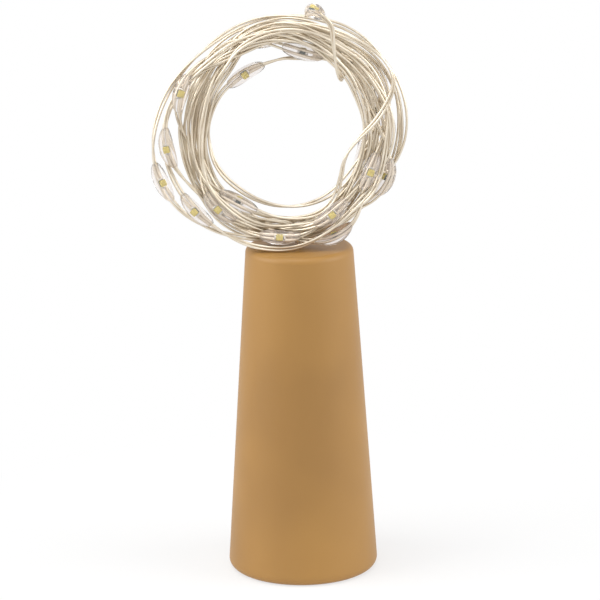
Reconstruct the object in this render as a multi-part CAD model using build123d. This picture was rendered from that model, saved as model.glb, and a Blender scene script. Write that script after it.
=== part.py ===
from build123d import *
import math
import os

import numpy as np

# A cork-shaped bottle light: a tapered plastic cork that holds three button cells on a
# pull-out carrier, with a slide switch in its wide end, and a string of small lights on a
# flat two-core wire that leaves the narrow end and is wound into a loose upright ring.
# All sizes are millimetres. The cork stands on its wide end, its axis is Z, and the ring
# faces -Y.

os.makedirs("parts", exist_ok=True)

# Fits and clearances
overrun = 1.0
slide_gap = 0.05
loose_gap = 0.15
hole_gap = 0.05
seat_gap = 0.02

# Cork housing
cork_length = 53.0
wide_radius = 12.0
narrow_radius = 8.5
wall = 2.0
end_wall = 3.0
wide_edge_radius = 1.3
narrow_edge_radius = 1.0
wire_hole_radius = 0.8
least_rib = 0.6
rib_count = 6
rib_width = 1.2

# Battery carrier
flange_recess = 0.9
flange_thickness = 1.6
flange_edge = 0.3
finger_recess_length = 9.0
finger_recess_width = 5.2
finger_recess_depth = 0.5
finger_recess_corner = 1.2
pull_notch_radius = 1.7
chamber_length = 7.1
chamber_half_width = 5.0
chamber_front = 2.6
bulkhead = 1.4
trough_lip = 1.0
groove_width = 0.8
groove_depth = 0.7
groove_angle = 120.0
cell_end_gap = 0.05

# Button cells
cell_count = 3
cell_radius = 5.8
cell_height = 5.4
cell_cap_radius = 4.7
cell_cap_rise = 0.3
cell_ring_radius = 5.2
cell_shoulder = 0.5
cell_edge = 0.25

# Contact strips
strip_thickness = 0.3
strip_width = 4.0
strip_bend = 0.35
tongue_rise = 1.5
tongue_bend = 1.4
tongue_back = 2.2
contact_reach = 4.4
contact_tail_place = 4.95
contact_tail_rise = 1.3

# Slide switch
can_length = 8.5
can_width = 3.6
can_height = 3.35
can_wall = 0.3
base_thickness = 0.6
terminal_count = 3
terminal_pitch = 2.5
terminal_width = 0.7
terminal_thickness = 0.4
terminal_pad = 0.15
terminal_length = 2.4
knob_travel = 2.0
knob_stem_length = 1.8
knob_stem_width = 1.5
knob_tip_recess = 0.45
knob_block_length = 4.0
knob_block_width = 2.7
knob_block_height = 1.3
knob_groove_count = 3
knob_groove_width = 0.3
knob_groove_depth = 0.2
wiper_thickness = 0.2
wiper_width = 1.6
wiper_foot = 0.9
wiper_reach = 1.7
wiper_bend = 0.4
wiper_gap = 0.1

# Circuit board
board_thickness = 0.8
board_half_length = 4.6
board_front = 2.3
resistor_length = 3.2
resistor_width = 1.6
resistor_height = 0.6
resistor_cap_length = 0.5
resistor_cap_proud = 0.05
resistor_place = 2.9
solder_sides = 6
solder_radius = 0.65
solder_height = 0.6
solder_slope = 25.0

# Inner leads, each one core of the flat wire
core_radius = 0.2
core_sides = 4
lead_drop = 2.9
lead_rise = 1.1
lead_clear = 0.55
lead_loop_radius = 5.2
lead_loop_rise = 0.85
lead_loop_corners = 6
supply_loop_corners = 11
return_loop_corners = 9

# Seal where the wire leaves the cork
seal_radius = 2.4
seal_tip_radius = 1.4
seal_height = 1.6

# String wire and its ring of turns
cord_width = 0.9
cord_sides = 4
ring_offset = -3.0
ring_height = 20.0
inner_turn_radius = 12.2
outer_turn_radius = 19.5
whole_turns = 19
ring_start_angle = 190.0
ring_end_angle = 115.0
climb_turns = 0.5
layer_levels = (3.0, 1.3, -1.3, -3.0)
ring_end_run = 1.0
lead_route = (
    (0.0, 0.0, 0.0),
    (0.0, 0.0, 3.6),
    (-0.9, 0.0, 7.2),
    (-3.6, 0.3, 9.6),
    (-7.8, 1.4, 10.0),
    (-11.6, 2.4, 11.9),
)
lead_join_run = 2.0
tail_join_run = 2.1
tail_route = (
    (3.8, -1.1, 1.8),
    (5.3, -1.65, 2.9),
    (6.7, -1.75, 4.1),
)
run_share = 0.45

# Lights on the string
light_count = 20
first_light = 108.0
light_clear_share = 0.75
light_step = 0.5
bead_sides = 8
bead_radius = 1.1
bead_length = 6.4
bead_waist_length = 2.8
bead_end_radius = 0.5
chip_length = 1.2
chip_width = 0.9
chip_height = 0.45
chip_gap = 0.05
chip_turn = 137.5
points_per_arc = 50

# Levels along the cork's axis, from the table up
seat_level = flange_recess + flange_thickness
cavity_top = cork_length - end_wall
lead_joint_level = cavity_top - seal_height - lead_drop
chamber_top = seat_level + chamber_length
bay_bottom = chamber_top + bulkhead
cells_bottom = bay_bottom + tongue_rise
cells_top = cells_bottom + cell_count * cell_height
bay_top = cells_top + strip_thickness + cell_end_gap
carrier_top = bay_top + bulkhead
can_top = seat_level + can_height
base_top = can_top + base_thickness
board_top = base_top + board_thickness
terminal_top = base_top + terminal_length
tail_top = carrier_top + contact_tail_rise
supply_loop_level = tail_top + lead_clear
supply_loop_top = supply_loop_level + lead_loop_rise * supply_loop_corners / lead_loop_corners
return_loop_level = supply_loop_top + lead_clear
return_loop_top = return_loop_level + lead_loop_rise * return_loop_corners / lead_loop_corners
ring_level = cork_length + ring_height
knob_rest = -knob_travel / 2
ring_centre = Vector(ring_offset, 0, ring_level)
layer_count = len(layer_levels)
ring_turns = whole_turns + (ring_start_angle - ring_end_angle) / 360
layer_turns = (ring_turns - (layer_count - 1) * climb_turns) / layer_count


def cone_radius(level):
    """Outer radius of the cork at a height above the table."""
    return wide_radius + (narrow_radius - wide_radius) * level / cork_length


mouth_radius = cone_radius(seat_level) - wall
guide_radius = cone_radius(carrier_top) - wall - least_rib
flange_radius = mouth_radius - slide_gap
trunk_radius = guide_radius - slide_gap


def block(x_range, y_range, z_range):
    """A box between two limits along each axis."""
    size = [high - low for low, high in (x_range, y_range, z_range)]
    middle = [(high + low) / 2 for low, high in (x_range, y_range, z_range)]
    return Pos(*middle) * Box(*size)


def post(radius, low, high, x=0.0, y=0.0):
    """An upright cylinder between two levels."""
    return Pos(x, y, (low + high) / 2) * Cylinder(radius, high - low)


def turned(*points):
    """A solid turned about the cork's axis from (radius, level) points."""
    return revolve(make_face(Polyline(*[(r, 0, z) for r, z in points], close=True)), Axis.Z)


def bent_strip(points, radii, width, thickness, across):
    """A strip of sheet metal that follows a folded path, its width along across."""
    path = FilletPolyline(*points, radius=radii)
    start = Plane(origin=path @ 0, x_dir=across, z_dir=path % 0)
    return sweep(start * Rectangle(width, thickness), path=path)


def run_radii(points):
    """The largest bends that the runs of a route allow, and the turn at each corner."""
    radii = []
    turns = []
    for before, corner, after in zip(points, points[1:], points[2:]):
        first = corner - before
        second = after - corner
        turn = first.get_angle(second)
        shorter = min(first.length, second.length)
        radii.append(run_share * shorter / math.tan(math.radians(turn) / 2))
        turns.append(turn)
    return radii, turns


def cord_tube(path, across=(0, 1, 0), width=cord_width, sides=cord_sides):
    """A faceted wire along a path."""
    start = Plane(origin=path @ 0, x_dir=across, z_dir=path % 0)
    return sweep(start * RegularPolygon(width / 2, sides), path=path)


# Cork housing and the seal in its narrow end


def cork_shell():
    """The moulded cork: a tapered shell with guide ribs and a hole for the wire."""
    body = turned((0, 0), (wide_radius, 0), (narrow_radius, cork_length), (0, cork_length))
    rims = body.edges().sort_by(Axis.Z)
    body = fillet(rims[0], wide_edge_radius)
    body = fillet(body.edges().sort_by(Axis.Z)[-1], narrow_edge_radius)
    top_radius = cone_radius(cavity_top) - wall
    mouth = turned(
        (0, -overrun), (mouth_radius, -overrun), (mouth_radius, seat_level), (0, seat_level)
    )
    cavity = turned(
        (0, seat_level), (mouth_radius, seat_level), (top_radius, cavity_top), (0, cavity_top)
    )
    ribs = [
        Rot(0, 0, 360 * index / rib_count)
        * block(
            (guide_radius, wide_radius),
            (-rib_width / 2, rib_width / 2),
            (seat_level, cavity_top),
        )
        for index in range(rib_count)
    ]
    hole = post(wire_hole_radius, cavity_top - overrun, cork_length + overrun)
    return body - mouth - (cavity - ribs) - hole


def wire_seal():
    """The plug of sealant that fills the wire hole and swells out inside the cork."""
    neck_radius = wire_hole_radius - seat_gap
    neck_top = cork_length - narrow_edge_radius
    plug = turned(
        (0, cavity_top - seal_height),
        (seal_tip_radius, cavity_top - seal_height),
        (seal_radius, cavity_top),
        (neck_radius, cavity_top),
        (neck_radius, neck_top),
        (0, neck_top),
    )
    return plug - post(cord_width / 2 + seat_gap, cavity_top - seal_height, neck_top)


def inner_cord():
    """The end of the string wire inside the cork, down to where its cores part."""
    path = Line((0, 0, lead_joint_level), (0, 0, cork_length))
    return cord_tube(path)


# Battery carrier with its cells and contacts


def battery_carrier():
    """The pull-out moulding: end flange, switch chamber and a trough for the cells."""
    flange = post(flange_radius, flange_recess, seat_level)
    flange = chamfer(flange.edges().sort_by(Axis.Z)[0], flange_edge)
    trunk = post(trunk_radius, seat_level, carrier_top)
    body = flange + trunk
    chamber = block(
        (-chamber_half_width, chamber_half_width),
        (-chamber_front, wide_radius),
        (seat_level, chamber_top),
    )
    bay = post(cell_radius + loose_gap, bay_bottom, bay_top)
    window = block(
        (-wide_radius, wide_radius), (-wide_radius, -trough_lip), (bay_bottom, bay_top)
    )
    slot_half = knob_stem_length / 2 + knob_travel / 2 + loose_gap
    knob_slot = block(
        (-slot_half, slot_half),
        (-knob_stem_width / 2 - loose_gap, knob_stem_width / 2 + loose_gap),
        (flange_recess - overrun, seat_level),
    )
    recess = extrude(
        Pos(0, 0, flange_recess)
        * RectangleRounded(finger_recess_length, finger_recess_width, finger_recess_corner),
        finger_recess_depth,
    )
    notch = post(pull_notch_radius, flange_recess - overrun, seat_level, 0, -flange_radius)
    strip_slots = [
        block(
            (-strip_width / 2 - loose_gap, strip_width / 2 + loose_gap),
            (
                contact_tail_place - strip_thickness / 2 - loose_gap,
                contact_tail_place + strip_thickness / 2 + loose_gap,
            ),
            levels,
        )
        for levels in ((chamber_top, bay_bottom), (bay_top, carrier_top))
    ]
    groove = Rot(0, 0, groove_angle) * block(
        (trunk_radius - groove_depth, wide_radius),
        (-groove_width / 2, groove_width / 2),
        (chamber_top, carrier_top),
    )
    return body - chamber - bay - window - knob_slot - recess - notch - strip_slots - groove


def button_cell(index):
    """One button cell, its small negative cap towards the wide end."""
    low = cells_bottom + index * cell_height
    high = low + cell_height
    return turned(
        (0, low),
        (cell_cap_radius, low),
        (cell_cap_radius, low + cell_cap_rise),
        (cell_ring_radius, low + cell_cap_rise),
        (cell_radius, low + cell_cap_rise + cell_shoulder),
        (cell_radius, high - cell_edge),
        (cell_radius - cell_edge, high),
        (0, high),
    )


def spring_contact():
    """The negative contact: a folded strip whose tongue presses on the lowest cell."""
    floor = bay_bottom + strip_thickness / 2
    top = cells_bottom - strip_thickness / 2 - seat_gap
    fold = 2 * strip_bend
    points = (
        (0, contact_tail_place, base_top),
        (0, contact_tail_place, floor),
        (0, -contact_reach, floor),
        (0, -contact_reach, floor + fold),
        (0, 0, top),
        (0, tongue_back, floor + fold),
    )
    radii = [strip_bend, strip_bend, strip_thickness, tongue_bend]
    return bent_strip(points, radii, strip_width, strip_thickness, (1, 0, 0))


def contact_plate():
    """The positive contact: a strip on the top cell with a tail through the bulkhead."""
    level = cells_top + strip_thickness / 2
    points = (
        (0, -contact_reach, level),
        (0, contact_tail_place, level),
        (0, contact_tail_place, tail_top),
    )
    return bent_strip(points, [strip_bend], strip_width, strip_thickness, (1, 0, 0))


# Slide switch


def terminal_places():
    """Where the switch's pins stand along X."""
    first = -(terminal_count - 1) / 2 * terminal_pitch
    return [first + index * terminal_pitch for index in range(terminal_count)]


def terminal_pin(x, grow=0.0):
    """One flat pin of the switch, made larger by grow for the hole that it passes."""
    half_width = terminal_width / 2 + grow
    half_thickness = terminal_thickness / 2 + grow
    return block(
        (x - half_width, x + half_width),
        (-half_thickness, half_thickness),
        (can_top - terminal_pad, terminal_top),
    )


def switch_can():
    """The folded metal housing of the switch, open at the back, slotted for the knob."""
    half_length = can_length / 2
    half_width = can_width / 2
    outer = block(
        (-half_length, half_length), (-half_width, half_width), (seat_level, can_top)
    )
    inner = block(
        (-half_length + can_wall, half_length - can_wall),
        (-half_width + can_wall, half_width - can_wall),
        (seat_level + can_wall, can_top),
    )
    slot_half = knob_stem_length / 2 + knob_travel / 2 + loose_gap
    slot = block(
        (-slot_half, slot_half),
        (-knob_stem_width / 2 - loose_gap, knob_stem_width / 2 + loose_gap),
        (seat_level, seat_level + can_wall),
    )
    shell = fillet(outer.edges().filter_by(Axis.Z), can_wall)
    return shell - inner - slot


def switch_base():
    """The insulating back of the switch, which holds its pins."""
    half_length = can_length / 2
    half_width = can_width / 2
    plate = block((-half_length, half_length), (-half_width, half_width), (can_top, base_top))
    return plate - [terminal_pin(x, hole_gap) for x in terminal_places()]


def switch_terminals():
    """The three pins of the switch."""
    return Compound([terminal_pin(x) for x in terminal_places()])


def switch_knob():
    """The slider: a block inside the housing and a ribbed stem through the flange."""
    low = seat_level + can_wall + seat_gap
    slider = block(
        (knob_rest - knob_block_length / 2, knob_rest + knob_block_length / 2),
        (-knob_block_width / 2, knob_block_width / 2),
        (low, low + knob_block_height),
    )
    stem = block(
        (knob_rest - knob_stem_length / 2, knob_rest + knob_stem_length / 2),
        (-knob_stem_width / 2, knob_stem_width / 2),
        (knob_tip_recess, low),
    )
    spacing = knob_stem_length / knob_groove_count
    first = knob_rest - (knob_groove_count - 1) / 2 * spacing
    grooves = [
        block(
            (
                first + index * spacing - knob_groove_width / 2,
                first + index * spacing + knob_groove_width / 2,
            ),
            (-knob_stem_width, knob_stem_width),
            (knob_tip_recess, knob_tip_recess + knob_groove_depth),
        )
        for index in range(knob_groove_count)
    ]
    return slider + stem - grooves


def switch_wiper():
    """The sprung bridge on the slider, which joins two of the pins."""
    foot = seat_level + can_wall + seat_gap + knob_block_height + wiper_thickness / 2
    tip = can_top - terminal_pad - wiper_gap - wiper_thickness / 2
    points = (
        (knob_rest - wiper_reach, 0, tip),
        (knob_rest - wiper_foot, 0, foot),
        (knob_rest + wiper_foot, 0, foot),
        (knob_rest + wiper_reach, 0, tip),
    )
    return bent_strip(points, [wiper_bend] * 2, wiper_width, wiper_thickness, (0, 1, 0))


# Circuit board and inner wiring


def switch_board():
    """The small circuit board on the back of the switch."""
    edge = contact_tail_place - strip_thickness / 2 - hole_gap
    plate = block(
        (-board_half_length, board_half_length), (-board_front, edge), (base_top, board_top)
    )
    return plate - [terminal_pin(x, hole_gap) for x in terminal_places()]


def resistor():
    """The flat resistor that limits the current to the string."""
    half = resistor_length / 2
    low = board_top
    high = board_top + resistor_height
    depth = resistor_width / 2
    body = block((-half, half), (resistor_place - depth, resistor_place + depth), (low, high))
    proud = resistor_cap_proud
    caps = [
        block(
            (middle - resistor_cap_length / 2, middle + resistor_cap_length / 2),
            (resistor_place - depth - proud, resistor_place + depth + proud),
            (low, high + proud),
        )
        for middle in (
            -half + resistor_cap_length / 2 - proud,
            half - resistor_cap_length / 2 + proud,
        )
    ]
    return body + caps


def return_lead_foot():
    """Where the return lead is soldered to the board, in X and Y."""
    return (
        -board_half_length + 2 * solder_radius,
        contact_tail_place - strip_thickness / 2 - hole_gap - 2 * solder_radius,
    )


def solder_fillet(x, y, hole):
    """A small tapered drop of solder on the board, round what stands in it."""
    foot = Pos(x, y, board_top) * RegularPolygon(solder_radius, solder_sides)
    return extrude(foot, solder_height, taper=solder_slope) - hole


def solder_joints():
    """The solder on the pins and on the foot of the return lead."""
    joints = [solder_fillet(x, 0, terminal_pin(x, seat_gap)) for x in terminal_places()]
    x, y = return_lead_foot()
    reach = core_radius + seat_gap
    bore = block((x - reach, x + reach), (y - reach, y + reach), (board_top, chamber_top))
    joints.append(solder_fillet(x, y, bore))
    return Compound([joint.solids()[0] for joint in joints])


def lead_loop(first_angle, turn, corner_count, level):
    """Corners of a lead's spare turns, which let the carrier be drawn out."""
    corners = []
    for index in range(corner_count):
        share = index / lead_loop_corners
        angle = math.radians(first_angle + turn * share)
        x = lead_loop_radius * math.cos(angle)
        y = lead_loop_radius * math.sin(angle)
        corners.append((x, y, level + lead_loop_rise * share))
    return corners


def core_tube(points):
    """One core of the flat wire along a route, with the widest bends that fit."""
    points = [Vector(*point) for point in points]
    radii, _ = run_radii(points)
    path = FilletPolyline(*points, radius=radii)
    return cord_tube(path, (1, 0, 0), 2 * core_radius, core_sides)


def return_lead():
    """The core from the string down the carrier's groove to the circuit board."""
    foot_x, foot_y = return_lead_foot()
    angle = math.radians(groove_angle)
    reach = trunk_radius - groove_depth / 2
    groove_x = reach * math.cos(angle)
    groove_y = reach * math.sin(angle)
    side = core_radius + seat_gap
    first_angle = groove_angle + 360 / lead_loop_corners
    return core_tube(
        [
            (foot_x, foot_y, board_top + seat_gap),
            (foot_x, foot_y, board_top + lead_rise),
            (groove_x, groove_y, chamber_top - 2 * core_radius),
            (groove_x, groove_y, return_loop_level),
        ]
        + lead_loop(first_angle, 360, return_loop_corners, return_loop_level)
        + [(side, 0, return_loop_top), (side, 0, lead_joint_level)]
    )


def supply_lead():
    """The core from the positive contact's tail up to the string."""
    start_y = contact_tail_place - strip_thickness / 2 - core_radius - seat_gap
    side = -core_radius - seat_gap
    first_angle = 90 - 360 / lead_loop_corners
    return core_tube(
        [(0, start_y, carrier_top + seat_gap), (0, start_y, supply_loop_level)]
        + lead_loop(first_angle, -360, supply_loop_corners, supply_loop_level)
        + [(side, 0, supply_loop_top), (side, 0, lead_joint_level)]
    )


# String wire


def turn_state(turn):
    """Radius and level of the ring's wire after a number of turns."""
    leg_turns = layer_turns + climb_turns
    last = layer_count - 1
    layer = min(int(turn // leg_turns), last)
    within = turn - layer * leg_turns
    going_out = layer % 2 == 0
    first = inner_turn_radius if going_out else outer_turn_radius
    final = outer_turn_radius if going_out else inner_turn_radius
    level = layer_levels[layer]
    if within <= layer_turns or layer == last:
        return first + (final - first) * within / layer_turns, level
    share = (within - layer_turns) / climb_turns
    return final, level + (layer_levels[layer + 1] - level) * share


def turn_place(turn):
    """A point of the ring's wire, which turns clockwise as seen from the front."""
    radius, level = turn_state(turn)
    angle = math.radians(ring_start_angle - 360 * turn)
    return ring_centre + Vector(radius * math.cos(angle), level, radius * math.sin(angle))


def turn_heading(turn):
    """The wire's direction at a point of the ring, from the spiral's two sides."""
    small_share = 1e-4
    before = turn_place(max(turn - small_share, 0))
    after = turn_place(min(turn + small_share, ring_turns))
    return (after - before).normalized()


def biarc(start, start_heading, end, end_heading):
    """Two arcs that join two points in two given directions."""
    chord = end - start
    both = start_heading + end_heading
    spread = 2 * (1 - start_heading.dot(end_heading))
    along = chord.dot(both)
    reach = (math.sqrt(along**2 + spread * chord.dot(chord)) - along) / spread
    first_corner = start + start_heading * reach
    second_corner = end - end_heading * reach
    middle = (first_corner + second_corner) * 0.5
    middle_heading = (second_corner - first_corner).normalized()
    return [
        Edge.make_tangent_arc(start, start_heading, middle),
        Edge.make_tangent_arc(middle, middle_heading, end),
    ]


def ring_path():
    """The ring's centre line: layers that spiral out and in, on biarcs of half a turn."""
    marks = []
    for layer in range(layer_count):
        first = layer * (layer_turns + climb_turns)
        steps = round(layer_turns / climb_turns)
        marks += [first + layer_turns * step / steps for step in range(steps + 1)]
    places = [turn_place(mark) for mark in marks]
    headings = [turn_heading(mark) for mark in marks]
    edges = [Edge.make_line(places[0] - headings[0] * ring_end_run, places[0])]
    for index in range(len(marks) - 1):
        edges += biarc(
            places[index], headings[index], places[index + 1], headings[index + 1]
        )
    edges.append(Edge.make_line(places[-1], places[-1] + headings[-1] * ring_end_run))
    return Wire(edges)


def least_gap(path):
    """The least gap of a wound wire to itself, measured on points along it."""
    points = []
    for edge in path.edges():
        count = max(2, round(points_per_arc * edge.length / (math.pi * outer_turn_radius)))
        points += [tuple(edge @ (step / count)) for step in range(count)]
    points = np.array(points)
    along = np.concatenate(([0], np.cumsum(np.linalg.norm(np.diff(points, axis=0), axis=1))))
    least = outer_turn_radius
    for index in range(len(points)):
        apart = np.linalg.norm(points - points[index], axis=1)
        far = np.abs(along - along[index]) > inner_turn_radius
        least = min(least, apart[far].min())
    return least - cord_width


def string_lead_points(ring_line):
    """From the wire hole up between the layers and round into the ring's first turn."""
    points = [Vector(x, y, cork_length + z) for x, y, z in lead_route]
    start = ring_line @ 0
    return points + [start - (ring_line % 0) * lead_join_run, start]


def string_tail_points(ring_line):
    """From the ring's last turn up over its front to the end light."""
    end = ring_line @ 1
    return [end, end + (ring_line % 1) * tail_join_run] + [
        end + Vector(*step) for step in tail_route
    ]


def free_run(name, points):
    """A free stretch of the string wire, with its bends and its volume printed."""
    radii, turns = run_radii(points)
    path = FilletPolyline(*points, radius=radii)
    tube = cord_tube(path)
    section = RegularPolygon(cord_width / 2, cord_sides).area
    print(name, "turns", [round(turn) for turn in turns], "radii", [round(r, 1) for r in radii])
    print(name, "volume", round(tube.volume, 2), "section x length", round(section * path.length, 2))
    return tube, path


# Lights


def bead_plane(place, heading, index):
    """A light's frame: its length along the wire, its chip turned round it."""
    across = heading.cross(Vector(0, 1, 0)).normalized()
    frame = Plane(origin=place, x_dir=across, z_dir=heading)
    return frame * Rot(0, 0, chip_turn * index)


def chip_block(grow=0.0):
    """The light's chip on one side of the wire, made larger by grow for its pocket."""
    low = cord_width / 2 + chip_gap
    return block(
        (low - grow, low + chip_height + grow),
        (-chip_width / 2 - grow, chip_width / 2 + grow),
        (-chip_length / 2 - grow, chip_length / 2 + grow),
    )


def light_bead():
    """The clear drop that seals one light, with a pocket for its chip."""
    waist = RegularPolygon(bead_radius, bead_sides)
    drop = extrude(waist, bead_waist_length / 2, both=True)
    end_length = (bead_length - bead_waist_length) / 2
    slope = math.degrees(math.atan((bead_radius - bead_end_radius) / end_length))
    end = extrude(waist, end_length, taper=slope)
    drop += Pos(0, 0, bead_waist_length / 2) * end
    drop += Pos(0, 0, -bead_waist_length / 2) * Rot(180, 0, 0) * end
    return drop - chip_block(seat_gap)


def light_distances(ring_line, before, pitch):
    """How far along the ring each light lies, slid on where it would touch another."""
    clear = light_clear_share * bead_length
    distances = []
    places = []
    for index in range(light_count - 1):
        distance = first_light + index * pitch - before
        place = ring_line @ (distance / ring_line.length)
        while any((place - other).length < clear for other in places):
            distance += light_step
            place = ring_line @ (distance / ring_line.length)
        distances.append(distance)
        places.append(place)
    return distances


def write(name, piece):
    """Write one piece as a STEP file."""
    export_step(piece, os.path.join("parts", name + ".step"))


def build():
    """Make every piece, print the string's measures and write the files."""
    ring = ring_path()
    lead, lead_line = free_run("string_lead", string_lead_points(ring))
    tail, tail_line = free_run("string_tail", string_tail_points(ring))
    coil = cord_tube(ring)
    string_length = lead_line.length + ring.length + tail_line.length
    print("ring turns", round(ring_turns, 2))
    print("ring length", round(ring.length, 1), "string length", round(string_length, 1))
    print("least gap of the ring to itself", round(least_gap(ring), 3))

    pieces = {
        "cork_shell": cork_shell(),
        "wire_seal": wire_seal(),
        "inner_cord": inner_cord(),
        "battery_carrier": battery_carrier(),
        "spring_contact": spring_contact(),
        "contact_plate": contact_plate(),
        "switch_can": switch_can(),
        "switch_base": switch_base(),
        "switch_terminals": switch_terminals(),
        "switch_board": switch_board(),
        "resistor": resistor(),
        "solder_joints": solder_joints(),
        "return_lead": return_lead(),
        "supply_lead": supply_lead(),
        "switch_knob": switch_knob(),
        "switch_wiper": switch_wiper(),
        "string_lead": lead,
        "string_coil": coil,
        "string_tail": tail,
    }
    for index in range(cell_count):
        pieces[f"button_cell_{index + 1}"] = button_cell(index)

    light_pitch = (string_length - first_light) / (light_count - 1)
    print("light pitch", round(light_pitch, 2))
    frames = []
    for distance in light_distances(ring, lead_line.length, light_pitch):
        share = distance / ring.length
        frames.append(bead_plane(ring @ share, ring % share, len(frames)))
    heading = tail_line % 1
    end_place = tail_line @ 1 + heading * (bead_length / 2)
    frames.append(bead_plane(end_place, heading, len(frames)))
    for number, frame in enumerate(frames, start=1):
        pieces[f"light_bead_{number:02d}"] = frame * light_bead()
    pieces["light_chips"] = Compound([(frame * chip_block()).solids()[0] for frame in frames])

    for name, piece in pieces.items():
        write(name, piece)


build()
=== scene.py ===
import math

import bmesh
import bpy
import numpy as np
from mathutils import Matrix, Vector


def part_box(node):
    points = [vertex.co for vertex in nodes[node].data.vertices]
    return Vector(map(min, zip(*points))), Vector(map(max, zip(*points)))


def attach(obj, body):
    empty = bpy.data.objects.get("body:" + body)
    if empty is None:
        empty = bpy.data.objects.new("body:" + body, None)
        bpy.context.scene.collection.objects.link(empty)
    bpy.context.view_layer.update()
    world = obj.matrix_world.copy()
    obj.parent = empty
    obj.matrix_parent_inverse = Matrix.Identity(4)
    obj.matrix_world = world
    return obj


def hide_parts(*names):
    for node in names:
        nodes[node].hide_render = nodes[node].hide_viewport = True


# The look of the cork bottle light. All sizes are metres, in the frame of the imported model:
# the cork stands on its wide end, its axis is Z, and the ring of wire faces -Y.

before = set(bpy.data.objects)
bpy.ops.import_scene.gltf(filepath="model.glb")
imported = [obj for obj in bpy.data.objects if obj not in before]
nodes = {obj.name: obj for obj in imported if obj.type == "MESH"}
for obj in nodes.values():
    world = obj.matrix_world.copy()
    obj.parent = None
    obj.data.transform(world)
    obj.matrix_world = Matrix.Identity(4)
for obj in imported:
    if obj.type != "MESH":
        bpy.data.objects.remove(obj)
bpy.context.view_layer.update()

# The string's route, in the ring's frame of the part's source. Angles are in degrees round the
# ring as seen from the front. Distances from its centre are shares of turn_radius, and depths
# shares of turn_half_depth.
cork_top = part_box("cork_shell")[1][2]
cork_top_radius = 0.0085
ring_offset = -0.003
ring_rise = 0.0186
ring_centre = Vector((ring_offset, 0.0, cork_top + ring_rise))
turn_radius = 0.016
turn_half_depth = 0.0031
lap_angle = 190.0
ring_start_angle = 235.0
ring_end_angle = 92.0
whole_turns = 18
inner_angles = (
    0, 20, 45, 56, 66, 80, 97, 110, 122, 136, 150, 165, 180, 195, 215, 230, 253, 270, 290, 301, 320,
    345,
)
inner_shares = (
    0.8, 0.806, 0.831, 0.85, 0.92, 0.95, 0.92, 0.87, 0.80, 0.745, 0.71, 0.70, 0.71, 0.75,
    0.83, 0.845, 0.88, 0.905, 0.915, 0.875, 0.83, 0.806,
)
outer_angles = (
    0, 20, 45, 65, 80, 96, 111, 130, 150, 165, 180, 195, 210, 225, 240, 270, 300, 320, 345,
)
outer_shares = (
    1.206, 1.231, 1.188, 1.137, 1.113, 1.1, 1.069, 1.04, 1.01, 0.98, 0.96, 0.96, 0.99, 1.04,
    1.075, 1.106, 1.144, 1.163, 1.194,
)
depth_angles = (0, 45, 90, 180, 225, 270, 315)
depth_shares = (1.0, 1.0, 1.15, 1.05, 1.1, 1.15, 1.1)
across_start_share = 0.12
across_step_share = 0.618
through_start_share = 0.35
through_step_share = 0.7549
shifts_per_turn = 2
wobble = 0.00022
wobble_laps = (1.37, 2.83)
lead_route = (
    (0.0, 0.0, -0.0075),
    (0.0, 0.0, 0.0),
    (0.0, 0.0, 0.0022),
    (-0.0012, -0.0001, 0.0037),
    (-0.0040, -0.0003, 0.0041),
    (-0.0074, -0.0006, 0.0046),
)
join_run = 0.002
tail_shares = (
    (0.169, -0.10, 0.725),
    (0.401, 0.13, 0.725),
    (0.555, 0.54, 0.690),
    (0.630, 0.34, 0.580),
    (0.640, -0.35, 0.515),
    (0.600, -1.03, 0.557),
    (0.560, -1.30, 0.700),
    (0.538, -1.55, 0.950),
    (0.530, -1.76, 1.100),
    (0.462, -1.90, 1.185),
    (0.375, -1.68, 1.232),
    (0.315, -1.08, 1.222),
    (0.290, -0.48, 1.165),
)

# The columns of the two tables below, after the lap and the angle
distance_column = 2
depth_column = 3
chip_turn_column = 4

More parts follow.
